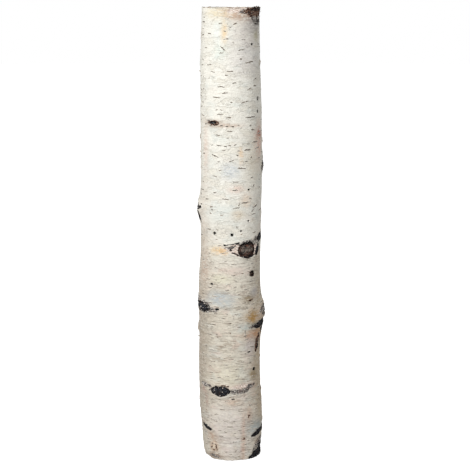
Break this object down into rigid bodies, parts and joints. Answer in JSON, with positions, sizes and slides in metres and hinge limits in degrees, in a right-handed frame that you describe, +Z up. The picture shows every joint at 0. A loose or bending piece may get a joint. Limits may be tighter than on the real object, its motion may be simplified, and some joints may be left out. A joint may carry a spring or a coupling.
{
  "type": "birch stick",
  "caption": "Short straight birch pole in white bark with dark branch scars, sawn square at both ends so that it stands upright.",
  "frame": {"origin": "middle of the flat lower saw cut, which the stick stands on", "axes": "+Z up along the stem, -Y towards the side with the big eye-shaped scar, +X to that side's right"},
  "size_m": [0.0938, 0.0887, 0.61],
  "materials": {
    "bark": "matt papery white birch bark with sawn pale wood at the ends"
  },
  "bodies": {
    "root": {"birch_stick": "bark"}
  },
  "joints": []
}
